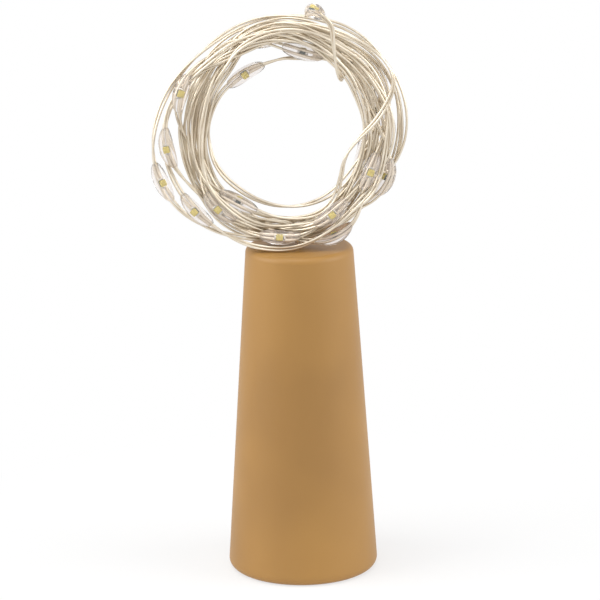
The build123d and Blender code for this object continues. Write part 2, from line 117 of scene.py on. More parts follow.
# Runs of single strands that stand out in the photograph: lap, angle, distance and depth
stray_reach = 0.05
stray_shares = (
    (
        (2, 176.0, 1.156, -0.77),
        (2, 166.0, 1.119, -0.71),
        (2, 152.0, 1.075, -0.65),
    ),
    (
        (3, 252.0, 1.087, -1.16),
        (3, 236.0, 1.119, -1.10),
        (3, 221.0, 1.175, -1.03),
        (3, 211.0, 1.206, -0.97),
        (3, 192.9, 1.262, -0.84),
        (3, 187.0, 1.244, -0.77),
        (3, 181.0, 1.206, -0.71),
        (3, 172.0, 1.163, -0.65),
        (3, 162.0, 1.131, -0.52),
        (3, 151.0, 1.106, -0.39),
        (3, 141.0, 1.087, -0.29),
        (3, 130.0, 1.081, -0.19),
        (3, 116.0, 1.100, -0.10),
        (3, 102.0, 1.137, 0.00),
        (3, 89.0, 1.156, 0.00),
        (3, 75.0, 1.181, 0.00),
        (3, 67.0, 1.200, 0.06),
        (3, 60.0, 1.231, 0.10),
        (3, 55.0, 1.256, 0.10),
        (3, 44.0, 1.275, 0.10),
        (3, 36.0, 1.281, 0.10),
        (3, 23.0, 1.288, 0.06),
        (3, 9.0, 1.275, 0.00),
        (3, 0.0, 1.262, 0.00),
        (3, -8.0, 1.262, 0.00),
        (3, -17.0, 1.250, 0.00),
        (3, -30.0, 1.219, 0.00),
        (3, -50.0, 1.212, -0.13),
        (3, -66.0, 1.163, -0.32),
    ),
    (
        (4, 314.0, 0.956, -1.23),
        (4, 301.0, 1.050, -1.29),
        (4, 291.0, 1.106, -1.32),
        (4, 281.0, 1.137, -1.35),
        (4, 273.0, 1.144, -1.35),
        (4, 264.0, 1.131, -1.35),
        (4, 254.0, 1.119, -1.32),
        (4, 243.0, 1.113, -1.26),
        (4, 232.0, 1.119, -1.10),
    ),
    (
        (4, 205.0, 1.125, -0.84),
        (4, 190.0, 1.163, -0.52),
        (4, 172.0, 1.125, -0.19),
        (4, 150.0, 1.056, 0.00),
    ),
    (
        (5, 66.0, 1.137, -0.77),
        (5, 58.0, 1.169, -1.03),
        (5, 50.0, 1.212, -1.19),
        (5, 43.0, 1.262, -1.29),
        (5, 36.0, 1.312, -1.35),
        (5, 30.0, 1.337, -1.39),
        (5, 25.0, 1.331, -1.42),
        (5, 20.6, 1.294, -1.42),
        (5, 16.7, 1.225, -1.42),
        (5, 13.0, 1.113, -1.42),
        (5, 6.3, 0.906, -1.39),
        (5, -1.6, 0.769, -1.35),
        (5, -12.0, 0.688, -1.29),
        (5, -23.0, 0.669, -1.23),
        (5, -37.0, 0.719, -1.10),
        (5, -48.0, 0.769, -0.97),
        (5, -62.0, 0.825, -0.71),
    ),
    (
        (6, 300.0, 0.963, -1.03),
        (6, 285.0, 0.950, -0.90),
        (6, 270.0, 0.912, -0.77),
        (6, 255.0, 0.850, -0.58),
    ),
    (
        (18, 340.0, 0.838, -0.26),
        (18, 316.6, 0.812, -0.19),
        (18, 302.7, 0.806, -0.16),
        (18, 292.0, 0.791, -0.13),
        (18, 281.0, 0.778, -0.13),
        (18, 267.0, 0.750, -0.13),
        (18, 252.0, 0.725, -0.13),
        (18, 238.0, 0.703, -0.13),
        (18, 222.0, 0.706, -0.13),
        (18, 208.6, 0.731, -0.13),
        (18, 195.0, 0.750, -0.13),
        (18, 181.0, 0.728, -0.13),
        (18, 164.0, 0.709, -0.16),
        (18, 148.0, 0.715, -0.16),
        (18, 136.0, 0.708, -0.16),
        (18, 126.0, 0.700, -0.16),
        (18, 115.0, 0.688, -0.16),
        (18, 103.0, 0.698, -0.15),
        (18, 92.0, 0.72, -0.13),
    ),
)

# Lights on the string: lap, angle, distance, depth, and the chip's turn from the front
light_reach = 0.075
light_shares = (
    (1, 157.4, 1.105, -0.97, 20.0),
    (2, 186.5, 1.140, -0.97, -10.0),
    (3, 201.0, 1.265, -0.97, 30.0),
    (4, 222.8, 1.131, -0.97, -20.0),
    (5, 232.6, 0.990, -1.00, 10.0),
    (6, 240.3, 0.806, -0.52, 185.0),
    (7, 269.4, 1.031, -1.23, 15.0),
    (8, 298.5, 1.190, -1.25, 175.0),
    (9, 301.0, 0.969, -1.10, 0.0),
    (10, 335.0, 0.959, -0.94, -15.0),
    (11, 336.5, 1.181, -0.52, 140.0),
    (12, 345.0, 0.906, 0.84, 200.0),
    (12, 0.0, 1.094, 0.97, 150.0),
    (13, 10.0, 0.938, 1.03, 220.0),
    (14, 25.0, 1.125, 0.84, 170.0),
    (15, 38.0, 1.000, 1.03, 190.0),
    (16, 73.0, 0.815, -0.45, 175.0),
    (17, 95.0, 0.975, 1.10, 200.0),
    (18, 117.0, 0.690, -0.16, 20.0),
)

# How the loose turns settle on each other. The rooms are half the distance between strands.
samples_per_turn = 96
samples_per_control = 4
smoothing_samples = 9
strand_room = 0.00047
held_room = 0.0005
light_room = 0.00122
settle_rounds = 320
settle_every = 20
settle_reach = 0.0035
settle_skip = 12
least_length = 1e-9
least_shared_way = 0.6
settle_share = 0.6
return_share = 0.015
return_rounds_share = 0.4

# The two wires of the string
wire_radius = 0.0002
wire_half_gap = 0.00024
wire_split = 0.00013
wire_twist_length = 0.034
wire_split_length = 0.02
wire_split_power = 3
wire_sides = 8
curve_resolution = 6

# A light: a clear drop round the wires, a chip and its solder. Turns are in degrees.
bead_length = 0.0066
bead_radius = 0.00118
bead_tip_radius = 0.00042
bead_offset = 0.00022
bead_stations = 18
bead_sides = 20
bead_power = 2.3
bead_fullness = 0.75
bead_uneven_share = 0.05
bead_lobes = 2
bead_lobe_twist = 2.4
end_bead_length = 0.0044
end_light_turn = 40.0
end_light_steps = 7
end_light_lean = 0.8
chip_length = 0.00094
chip_width = 0.0008
chip_height = 0.00042
chip_back = 0.0002
chip_bevel = 0.00012
chip_back_bevel = chip_bevel / 3
bevel_segments = 2
bevel_profile = 0.5
cap_share = 1.08
solder_length = 0.00045
solder_width = 0.0006
solder_height = 0.00032
solder_place = 0.00062
solder_lump_share = 0.12
solder_lump_waves = (9, 7)
solder_segments = 10
solder_rings = 7

# The leads inside the cork, as in the part's source
core_radius = 0.0002
core_roundness = 2
lead_rise = 0.0011
lead_loop_radius = 0.0052
lead_loop_rise = 0.00085
lead_loop_corners = 6
supply_loop_corners = 11
return_loop_corners = 9
supply_loop_start = 30
supply_loop_turn = -360
return_loop_start = 180
return_loop_turn = 360
lead_clear = 0.00055
carrier_tail_top = 0.03175
supply_start_y = 0.00458
supply_start_level = 0.03047
supply_loop_level = carrier_tail_top + lead_clear
supply_loop_top = supply_loop_level + lead_loop_rise * supply_loop_corners / lead_loop_corners
return_loop_level = supply_loop_top + lead_clear
return_loop_top = return_loop_level + lead_loop_rise * return_loop_corners / lead_loop_corners
return_foot_x = -0.0033
return_foot_y = 0.00345
return_turn_level = 0.0092
board_level = 0.00727
groove_x = -0.003495
groove_y = 0.006053
lead_side = 0.00022
lead_joint_level = 0.0455

# Grain of the surfaces: the size of their clouds and grains, and how deep these lie
cloud_detail = 2.0
cloud_low = 0.35
cloud_high = 0.65
grain_detail = 3.0
# The cork's clouds are large: their darker tone is partly the faint mottling and partly painted
# shade.
cork_mottle_and_shade_cloud = 0.022
cork_grain = 0.00032
cork_grain_depth = 0.000006
plastic_cloud = 0.006
plastic_grain = 0.00025
plastic_grain_depth = 0.000004
seal_cloud = 0.0012
seal_grain = 0.0007
seal_grain_depth = 0.00005
metal_cloud = 0.003
metal_grain = 0.00018
metal_grain_depth = 0.0000012
board_cloud = 0.002
board_grain = 0.0003
board_grain_depth = 0.000006
wire_cloud = 0.004
wire_grain = 0.0005
wire_grain_depth = 0.000001
resin_grain = 0.0011
resin_grain_depth = 0.00002
chip_grain = 0.00015
chip_grain_depth = 0.000008
solder_cloud = 0.0006
solder_grain = 0.0002
solder_grain_depth = 0.000012
resistor_end = 0.0005

# The photograph's view of the part. Angles are in degrees, photo_size and view_row in pixels.
view_height = 0.0263
view_distance = 0.6
view_elevation = 17.2
view_row = 406.9
view_lean = 0.735
photo_size = 600
focal_pixels = 3752.4
sensor_width = 0.036
millimetres_per_metre = 1000
near_clip = 0.01

# The studio
floor_size = 6.0
floor_colour = (0.9, 0.9, 0.9, 1)
floor_roughness = 0.9
shadow_share = 0.65
shadow_near = 0.02
shadow_far = 0.07
soft_light = 0.42
lamp_size = 0.6
lamp_target = (0, 0, 0.045)
left_lamp_place = (-0.68, -0.16, 0.40)
left_lamp_power = 3.9
right_lamp_place = (0.68, -0.14, 0.36)
right_lamp_power = 3.3
top_lamp_place = (-0.10, -0.20, 0.85)
top_lamp_power = 3.0


# The string's line


def turn_at(lap, angle):
    """The number of turns along the ring at an angle of a lap; it turns clockwise."""
    return lap + (lap_angle - angle) / 360


def drifting(turns, start_share, step_share):
    """A share from 0 to 1 that moves smoothly to a new value every half turn."""
    shifts = turns * shifts_per_turn
    before = np.floor(shifts)
    ease = shifts - before
    ease = ease * ease * (3 - 2 * ease)
    first = (start_share + step_share * before) % 1
    second = (start_share + step_share * (before + 1)) % 1
    return first + (second - first) * ease


def drawn_to(turns, shares, runs, column, reach):
    """Draw the shares to those of each run of places, fading out past its ends."""
    for run in runs:
        spots = [turn_at(place[0], place[1]) for place in run]
        wanted = np.interp(turns, spots, [place[column] for place in run])
        outside = np.maximum(np.maximum(spots[0] - turns, turns - spots[-1]), 0)
        shares = shares + (wanted - shares) * np.exp(-((outside / reach) ** 2))
    return shares


def smoothed(points):
    """A running mean along the wire, weighted to its middle."""
    window = np.hanning(smoothing_samples + 2)[1:-1]
    window /= window.sum()
    half = smoothing_samples // 2
    padded = np.pad(points, ((half, half), (0, 0)), mode="edge")
    columns = [np.convolve(padded[:, axis], window, "valid") for axis in range(3)]
    return np.stack(columns, axis=1)


def ring_samples():
    """The ring's loose turns before they settle, and the turn of each sample."""
    first = turn_at(0, ring_start_angle)
    last = turn_at(whole_turns, ring_end_angle)
    turns = np.linspace(first, last, round((last - first) * samples_per_turn) + 1)
    degrees = lap_angle - 360 * turns
    inner = np.interp(degrees, inner_angles, inner_shares, period=360)
    outer = np.interp(degrees, outer_angles, outer_shares, period=360)
    reach = np.interp(degrees, depth_angles, depth_shares, period=360)
    across = inner + (outer - inner) * drifting(turns, across_start_share, across_step_share)
    through = reach * (2 * drifting(turns, through_start_share, through_step_share) - 1)
    light_runs = [(place,) for place in light_shares]
    for runs, span in ((stray_shares, stray_reach), (light_runs, light_reach)):
        across = drawn_to(turns, across, runs, distance_column, span)
        through = drawn_to(turns, through, runs, depth_column, span)
    radius = turn_radius * across + wobble * np.sin(2 * np.pi * wobble_laps[0] * turns)
    depth = turn_half_depth * through + wobble * np.sin(2 * np.pi * wobble_laps[1] * turns)
    angles = np.radians(degrees)
    points = np.stack([radius * np.cos(angles), depth, radius * np.sin(angles)], axis=1)
    return smoothed(points + np.array(ring_centre)), turns


def ring_point(across, depth, up):
    """A point near the ring, from shares of its radius and of its half depth."""
    return ring_centre + Vector((across * turn_radius, depth * turn_half_depth, up * turn_radius))


def lead_points(ring):
    """From inside the cork through the wire hole and round into the ring's first turn."""
    points = [Vector((0, 0, cork_top)) + Vector(step) for step in lead_route]
    start = Vector(ring[0])
    heading = (Vector(ring[1]) - start).normalized()
    return points + [start - heading * join_run]


def tail_points(ring):
    """From the ring's last turn across its hole, round its inner strands and up the front."""
    end = Vector(ring[-1])
    heading = (end - Vector(ring[-2])).normalized()
    return [end + heading * join_run, *[ring_point(*shares) for shares in tail_shares]]


def spaced(points, spacing):
    """Points at an even spacing along straight runs."""
    points = np.array(points)
    along = run_along(points)
    spots = np.arange(0, along[-1], spacing)
    return np.stack([np.interp(spots, along, points[:, axis]) for axis in range(3)], axis=1)


def rooms(points, marks):
    """Half the room that the wire needs at each point, more where a light is."""
    along = run_along(points)
    room = np.full(len(points), strand_room)
    for mark in marks:
        off = (along - along[mark]) / (bead_length / 2)
        swell = np.sqrt(np.clip(1 - off**2, 0, 1))
        room = np.maximum(room, strand_room + (light_room - strand_room) * swell)
    return room


def close_pairs(points):
    """Pairs of points that are near each other but far apart along the wire."""
    squares = (points**2).sum(axis=1)
    gaps = squares[:, None] + squares[None] - 2 * points @ points.T
    first, second = np.nonzero(gaps < settle_reach**2)
    apart = second - first > settle_skip
    return first[apart], second[apart]


def pushes(points, room, pairs, half_step):
    """How far each point is pushed off the strands that lie too near it."""
    first, second = pairs
    ways = headings(points)
    shared = ways[first] + ways[second]
    shared /= np.maximum(np.linalg.norm(shared, axis=1), least_shared_way)[:, None]
    line = points[first] - points[second]
    slide = np.clip((line * shared).sum(axis=1), -half_step, half_step)
    line -= shared * slide[:, None]
    length = np.maximum(np.linalg.norm(line, axis=1), least_length)
    overlap = np.clip(room[first] + room[second] - length, 0, None)
    push = line * (settle_share * overlap / length)[:, None]
    shift = np.zeros_like(points)
    for axis in range(3):
        shift[:, axis] += np.bincount(first, push[:, axis], len(points))
        shift[:, axis] -= np.bincount(second, push[:, axis], len(points))
    return shift


def lift_off_cork(points, room, free):
    """Raise the free points that would lie in the cork's end."""
    floor = cork_top + room
    above_cork = np.hypot(points[:, 0], points[:, 1]) < cork_top_radius + room
    low = above_cork & free & (points[:, 2] < floor)
    points[low, 2] = floor[low]


def settled_ring():
    """The ring's points, pushed apart until no strand lies in another, and its lights' places."""
    ring, turns = ring_samples()
    lights = [np.abs(turns - turn_at(place[0], place[1])).argmin() for place in light_shares]
    half_step = math.pi * turn_radius / samples_per_turn
    lead = spaced(lead_points(ring), half_step)
    tail = spaced(tail_points(ring), half_step)
    points = np.concatenate([lead, ring, tail])
    free = np.zeros(len(points), bool)
    free[len(lead) : len(lead) + len(ring)] = True
    end_light = len(points) - round(end_bead_length / (2 * half_step))
    room = rooms(points, [len(lead) + place for place in lights] + [end_light])
    room[~free] = np.maximum(room[~free], held_room)
    rest = points.copy()
    for step in range(settle_rounds):
        if step % settle_every == 0:
            pairs = close_pairs(points)
        back = return_share * max(0, 1 - step / (settle_rounds * return_rounds_share))
        shift = smoothed(pushes(points, room, pairs, half_step)) + (rest - points) * back
        points = points + shift * free[:, None]
        lift_off_cork(points, room, free)
    return points[free], lights


def string_line():
    """The string's centre line as points of one NURBS spline, and its lights' places."""
    ring, lights = settled_ring()
    chosen = [*lead_points(ring), *ring[::samples_per_control], *tail_points(ring)]
    curve = bpy.data.curves.new("string_route", "CURVE")
    curve.dimensions = "3D"
    curve.resolution_u = curve_resolution
    spline = curve.splines.new("NURBS")
    spline.points.add(len(chosen) - 1)
    for target, place in zip(spline.points, chosen):
        target.co = (*place, 1)
    spline.order_u = 3
    spline.use_endpoint_u = True
    holder = bpy.data.objects.new("string_route", curve)
    mesh = bpy.data.meshes.new_from_object(holder)
    line = np.array([vertex.co for vertex in mesh.vertices])
    bpy.data.objects.remove(holder)
    bpy.data.meshes.remove(mesh)
    places = [int(np.linalg.norm(line - ring[light], axis=1).argmin()) for light in lights]
    return line, places


def run_along(line):
    """The distance along the line to each of its points."""
    return np.concatenate(([0], np.cumsum(np.linalg.norm(np.diff(line, axis=0), axis=1))))


def headings(line):
    """Unit directions along a line of points."""
    steps = np.gradient(line, axis=0)
    return steps / np.maximum(np.linalg.norm(steps, axis=1), least_length)[:, None]


def carried_frame(line):
    """Two directions across the line that turn with it and never spin."""
    along = headings(line)
    side = np.cross(along[0], (0, 1, 0))
    sides = []
    for direction in along:
        side = side - direction * side.dot(direction)
        side = side / np.linalg.norm(side)
        sides.append(side)
    sides = np.array(sides)
    return sides, np.cross(along, sides)


# Meshes


def mesh_object(name, points, faces, material):
    """A smooth mesh object in the scene."""
    mesh = bpy.data.meshes.new(name)
    mesh.from_pydata([tuple(point) for point in points], [], faces)
    mesh.materials.append(material)
    mesh.polygons.foreach_set("use_smooth", [True] * len(mesh.polygons))
    mesh.update()
    piece = bpy.data.objects.new(name, mesh)
    bpy.context.scene.collection.objects.link(piece)
    return piece


def tube(line, sides, ups, radii, count, first_index=0):
    """Points and faces of a round tube with capped ends."""
    angles = 2 * np.pi * np.arange(count) / count
    points = []
    for place, side, up, radius in zip(line, sides, ups, radii):
        for angle in angles:
            points.append(place + (side * math.cos(angle) + up * math.sin(angle)) * radius)
    faces = []
    for ring in range(len(line) - 1):
        low = first_index + ring * count
        for corner in range(count):
            after = (corner + 1) % count
            faces.append((low + corner, low + after, low + count + after, low + count + corner))
    last = first_index + (len(line) - 1) * count
    faces.append(tuple(first_index + corner for corner in reversed(range(count))))
    faces.append(tuple(last + corner for corner in range(count)))
    return points, faces


def twist_angles(line, marks):
    """How far the wires have turned round each other, level with the chip at each light."""
    along = run_along(line)
    sides, ups = carried_frame(line)
    steady = 2 * np.pi * along / wire_twist_length
    turned = []
    for mark, light in zip(marks, light_shares):
        side = chip_axes(line, mark, light[chip_turn_column])[1]
        level = math.atan2(side.dot(Vector(ups[mark])), side.dot(Vector(sides[mark])))
        turned.append(level + np.pi * round((steady[mark] - level) / np.pi) - steady[mark])
    return steady + np.interp(along, along[marks], turned)


def two_wires(line, marks, material):
    """The string's two wires, side by side and loosely twisted round each other."""
    along = run_along(line)
    sides, ups = carried_frame(line)
    twist = twist_angles(line, marks)
    split = np.clip(np.sin(along / wire_split_length), 0, 1) ** wire_split_power
    gap = wire_half_gap + wire_split * split
    offset = sides * np.cos(twist)[:, None] + ups * np.sin(twist)[:, None]
    points = []
    faces = []
    for sign in (-1, 1):
        wire = line + offset * (gap * sign)[:, None]
        radii = np.full(len(line), wire_radius)
        more_points, more_faces = tube(wire, sides, ups, radii, wire_sides, len(points))
        points += more_points
        faces += more_faces
    return mesh_object("string_wire", points, faces, material)


# Lights


def chip_axes(line, mark, turned):
    """Along the wire, across it and outward from its chip, which is turned from the front."""
    along = Vector(headings(line)[mark])
    outward = Vector((0, -1, 0))
    if abs(along.y) > end_light_lean:
        outward = Vector((0, 0, 1))
    outward = (outward - along * outward.dot(along)).normalized()
    outward = Matrix.Rotation(math.radians(turned), 3, along) @ outward
    return along, outward.cross(along), outward


def drop(line, mark, turned, length, radius, seed):
    """One drop of clear resin round the wires, fuller on the chip's side."""
    along = run_along(line)
    forward, side, outward = chip_axes(line, mark, turned)
    points = []
    for station in range(bead_stations + 1):
        place = 2 * station / bead_stations - 1
        share = math.sin(place * math.pi / 2)
        spot = along[mark] + share * length / 2
        centre = Vector([np.interp(spot, along, line[:, axis]) for axis in range(3)])
        past = spot - min(max(spot, along[0]), along[-1])
        fullness = (1 - abs(share) ** bead_power) ** bead_fullness
        reach = bead_tip_radius + (radius - bead_tip_radius) * fullness
        centre += forward * past + outward * bead_offset * fullness
        for corner in range(bead_sides):
            angle = 2 * math.pi * corner / bead_sides
            wave = math.sin(bead_lobes * angle + seed + bead_lobe_twist * share)
            uneven = 1 + bead_uneven_share * wave
            across = side * math.cos(angle) + outward * math.sin(angle)
            points.append(centre + across * reach * uneven)
    faces = []
    for station in range(bead_stations):
        low = station * bead_sides
        for corner in range(bead_sides):
            after = (corner + 1) % bead_sides
            high = low + bead_sides
            faces.append((low + corner, low + after, high + after, high + corner))
    last = bead_stations * bead_sides
    faces.append(tuple(reversed(range(bead_sides))))
    faces.append(tuple(last + corner for corner in range(bead_sides)))
    return points, faces


def rounded_block(centre, axes, sizes, bevel):
    """A block with rounded edges along three axes."""
    shape = bmesh.new()
    bmesh.ops.create_cube(shape, size=1)
    bmesh.ops.scale(shape, vec=sizes, verts=shape.verts)
    bmesh.ops.bevel(
        shape,
        geom=shape.edges[:],
        offset=bevel,
        segments=bevel_segments,
        affect="EDGES",
        profile=bevel_profile,
    )
    turned = Matrix(axes).transposed()
    shape.verts.index_update()
    points = [centre + turned @ vertex.co for vertex in shape.verts]
    faces = [tuple(vertex.index for vertex in face.verts) for face in shape.faces]
    shape.free()
    return points, faces


def solder_blob(centre, axes, sizes, seed):
    """A lumpy drop of solder."""
    shape = bmesh.new()
    bmesh.ops.create_uvsphere(
        shape, u_segments=solder_segments, v_segments=solder_rings, radius=0.5
    )
    turned = Matrix(axes).transposed()
    shape.verts.index_update()
    points = []
    for vertex in shape.verts:
        wave = seed + solder_lump_waves[0] * vertex.co.x + solder_lump_waves[1] * vertex.co.z
        lump = 1 + solder_lump_share * math.sin(wave)
        stretched = Vector([vertex.co[axis] * sizes[axis] * lump for axis in range(3)])
        points.append(centre + turned @ stretched)
    faces = [tuple(vertex.index for vertex in face.verts) for face in shape.faces]
    shape.free()
    return points, faces


def joined(name, parts, material):
    """One object of several closed shapes."""
    points = []
    faces = []
    for part_points, part_faces in parts:
        first = len(points)
        points += part_points
        faces += [tuple(first + corner for corner in face) for face in part_faces]
    return mesh_object(name, points, faces, material)


def string_lights(line, marks):
    """The lights: their drops, chips, chip backs and solder, each kind as one piece."""
    drops = []
    caps = []
    backs = []
    blobs = []
    turns = [place[chip_turn_column] for place in light_shares] + [end_light_turn]
    for seed, (mark, turned) in enumerate(zip([*marks, len(line) - end_light_steps], turns)):
        length = bead_length if seed < len(marks) else end_bead_length
        axes = chip_axes(line, mark, turned)
        centre = Vector(line[mark])
        drops.append(drop(line, mark, turned, length, bead_radius, seed))
        back = centre + axes[2] * (wire_radius + chip_back / 2)
        sizes = (chip_length, chip_width, chip_back)
        backs.append(rounded_block(back, axes, sizes, chip_back_bevel))
        cap = centre + axes[2] * (wire_radius + chip_back + chip_height / 2)
        sizes = (chip_length * cap_share, chip_width * cap_share, chip_height)
        caps.append(rounded_block(cap, axes, sizes, chip_bevel))
        for sign in (-1, 1):
            spot = centre + axes[0] * solder_place * sign + axes[2] * wire_radius
            sizes = (solder_length, solder_width, solder_height)
            blobs.append(solder_blob(spot, axes, sizes, seed + sign))
    pieces = [
        joined("light_drops", drops, epoxy_material()),
        joined("light_caps", caps, phosphor_material()),
        joined("light_backs", backs, chip_back_material()),
        joined("light_solder", blobs, light_solder_material()),
    ]
    for piece in pieces:
        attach(piece, "cork_body")
    beads = [name for name in nodes if name.startswith("light_bead_")]
    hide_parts(*beads)
    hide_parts("light_chips")
    return pieces


# Leads inside the cork


def lead_loop(first_angle, turn, corner_count, level):
    """A lead's spare turns, as in the part's source, with twice the corners."""
    places = []
    steps = 2 * (corner_count - 1)
    for step in range(steps + 1):
        share = step / (2 * lead_loop_corners)
        angle = math.radians(first_angle + turn * share)
        x = lead_loop_radius * math.cos(angle)
        y = lead_loop_radius * math.sin(angle)
        places.append((x, y, level + lead_loop_rise * share))
    return places


def lead_curve(name, route, material):
    """One core of the wire as a round tube along its route."""
    curve = bpy.data.curves.new(name, "CURVE")
    curve.dimensions = "3D"
    curve.resolution_u = curve_resolution
    curve.bevel_depth = core_radius
    curve.bevel_resolution = core_roundness
    curve.use_fill_caps = True
    spline = curve.splines.new("NURBS")
    spline.points.add(len(route) - 1)
    for target, place in zip(spline.points, route):
        target.co = (*place, 1)
    spline.order_u = 3
    spline.use_endpoint_u = True
    curve.materials.append(material)
    lead = bpy.data.objects.new(name, curve)
    bpy.context.scene.collection.objects.link(lead)
    return lead


def inner_leads(material):
    """The two cores between the carrier's contacts and the string's end."""
    groove = Vector((groove_x, groove_y, 0))
    back_route = [
        (return_foot_x, return_foot_y, board_level),
        (return_foot_x, return_foot_y, board_level + lead_rise),
        groove + Vector((0, 0, return_turn_level)),
        groove + Vector((0, 0, return_loop_level)),
        *lead_loop(
            return_loop_start, return_loop_turn, return_loop_corners, return_loop_level
        ),
        (lead_side, 0, return_loop_top),
        (lead_side, 0, lead_joint_level),
    ]
    feed_route = [
        (0, supply_start_y, supply_start_level),
        (0, supply_start_y, supply_loop_level),
        *lead_loop(
            supply_loop_start, supply_loop_turn, supply_loop_corners, supply_loop_level
        ),
        (-lead_side, 0, supply_loop_top),
        (-lead_side, 0, lead_joint_level),
    ]
    for name, route in (("return_lead", back_route), ("supply_lead", feed_route)):
        lead = lead_curve(name + "_wire", route, material)
        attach(lead, "carrier")
        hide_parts(name)


# Materials


def material_with(name):
    """A new material, its node tree and its main shader."""
    material = bpy.data.materials.new(name)
    material.use_nodes = True
    tree = material.node_tree
    return material, tree, tree.nodes["Principled BSDF"]


def added(tree, kind, operation):
    """A new calculating node of a kind, set to its operation."""
    made = tree.nodes.new(kind)
    made.operation = operation
    return made


def noise(tree, grain, detail, stretch=(1, 1, 1)):
    """Soft noise in the piece's own frame; grain is the size of its spots."""
    place = tree.nodes.new("ShaderNodeTexCoord")
    mapping = tree.nodes.new("ShaderNodeMapping")
    mapping.inputs["Scale"].default_value = stretch
    spots = tree.nodes.new("ShaderNodeTexNoise")
    spots.inputs["Scale"].default_value = 1 / grain
    spots.inputs["Detail"].default_value = detail
    tree.links.new(place.outputs["Object"], mapping.inputs["Vector"])
    tree.links.new(mapping.outputs["Vector"], spots.inputs["Vector"])
    return spots.outputs["Fac"]


def blended(tree, share, first, second):
    """A colour between two, by the noise."""
    ramp = tree.nodes.new("ShaderNodeValToRGB")
    ramp.color_ramp.elements[0].position = cloud_low
    ramp.color_ramp.elements[1].position = cloud_high
    ramp.color_ramp.elements[0].color = (*first, 1)
    ramp.color_ramp.elements[1].color = (*second, 1)
    tree.links.new(share, ramp.inputs["Fac"])
    return ramp.outputs["Color"]


def ranged(tree, share, least, most):
    """A value between two, by the noise."""
    span = tree.nodes.new("ShaderNodeMapRange")
    span.inputs["To Min"].default_value = least
    span.inputs["To Max"].default_value = most
    tree.links.new(share, span.inputs["Value"])
    return span.outputs["Result"]


def rippled(tree, shader, share, depth):
    """Small relief on the surface."""
    bump = tree.nodes.new("ShaderNodeBump")
    bump.inputs["Strength"].default_value = 1.0
    bump.inputs["Distance"].default_value = depth
    tree.links.new(share, bump.inputs["Height"])
    tree.links.new(bump.outputs["Normal"], shader.inputs["Normal"])


def surface(name, colours, roughness, sizes, metallic=0.0, stretch=(1, 1, 1)):
    """A material with clouds of two colours, uneven roughness and a fine relief."""
    cloud, grain, depth = sizes
    material, tree, shader = material_with(name)
    clouds = noise(tree, cloud, cloud_detail)
    tree.links.new(blended(tree, clouds, *colours), shader.inputs["Base Color"])
    grains = noise(tree, grain, grain_detail, stretch)
    tree.links.new(ranged(tree, grains, *roughness), shader.inputs["Roughness"])
    shader.inputs["Metallic"].default_value = metallic
    rippled(tree, shader, grains, depth)
    return material


def cork_material():
    """Satin tan plastic, moulded to look like cork, faintly mottled; the darker of its large clouds
    is partly painted shade.
    """
    # The darker colour is partly the plastic's own mottling and partly painted shade.
    colours = ((0.335, 0.172, 0.042), (0.408, 0.213, 0.051))
    sizes = (cork_mottle_and_shade_cloud, cork_grain, cork_grain_depth)
    roughness = (0.42, 0.52)
    return surface("cork", colours, roughness, sizes)


def carrier_material():
    """The carrier's tan plastic, a little deeper and more matt than the cork."""
    colours = ((0.36, 0.185, 0.050), (0.39, 0.205, 0.058))
    sizes = (plastic_cloud, plastic_grain, plastic_grain_depth)
    roughness = (0.45, 0.6)
    return surface("carrier_plastic", colours, roughness, sizes)


def seal_material():
    """A lumpy drop of milky sealant."""
    colours = ((0.62, 0.60, 0.54), (0.76, 0.74, 0.68))
    sizes = (seal_cloud, seal_grain, seal_grain_depth)
    roughness = (0.25, 0.45)
    material = surface("sealant", colours, roughness, sizes)
    shader = material.node_tree.nodes["Principled BSDF"]
    shader.inputs["Transmission Weight"].default_value = 0.3
    return material


def cell_material():
    """A button cell's nickel-plated steel, finely brushed round."""
    colours = ((0.56, 0.56, 0.55), (0.66, 0.65, 0.63))
    sizes = (metal_cloud, metal_grain, metal_grain_depth)
    roughness = (0.2, 0.34)
    return surface("cell_steel", colours, roughness, sizes, metallic=1.0, stretch=(1, 1, 6))


def contact_material():
    """Nickel-plated spring strip, drawn along its length."""
    colours = ((0.60, 0.57, 0.52), (0.70, 0.67, 0.61))
    sizes = (metal_cloud, metal_grain, metal_grain_depth)
    roughness = (0.24, 0.4)
    return surface("contact_strip", colours, roughness, sizes, metallic=1.0, stretch=(6, 6, 1))


def switch_can_material():
    """The switch's folded tin-plated can."""
    colours = ((0.50, 0.50, 0.49), (0.60, 0.60, 0.58))
    sizes = (metal_cloud, metal_grain, metal_grain_depth)
    roughness = (0.3, 0.45)
    return surface("switch_steel", colours, roughness, sizes, metallic=1.0, stretch=(1, 6, 6))


def switch_base_material():
    """The switch's brown laminate base."""
    colours = ((0.12, 0.045, 0.018), (0.17, 0.070, 0.028))
    roughness = (0.4, 0.55)
    sizes = (board_cloud, board_grain, board_grain_depth)
    return surface("laminate", colours, roughness, sizes)


def knob_material():
    """The knob's black plastic with a slight sheen."""
    colours = ((0.012, 0.012, 0.013), (0.022, 0.022, 0.023))
    sizes = (plastic_cloud, plastic_grain, plastic_grain_depth)
    roughness = (0.3, 0.45)
    return surface("knob_plastic", colours, roughness, sizes)


def wiper_material():
    """The switch's copper-alloy wiper."""
    colours = ((0.72, 0.40, 0.22), (0.80, 0.48, 0.28))
    sizes = (metal_cloud, metal_grain, metal_grain_depth)
    roughness = (0.22, 0.38)
    return surface("wiper_alloy", colours, roughness, sizes, metallic=1.0, stretch=(6, 1, 6))


def board_material():
    """Green solder mask over a woven laminate."""
    colours = ((0.010, 0.085, 0.030), (0.016, 0.115, 0.042))
    sizes = (board_cloud, board_grain, board_grain_depth)
    roughness = (0.25, 0.4)
    return surface("board_mask", colours, roughness, sizes)


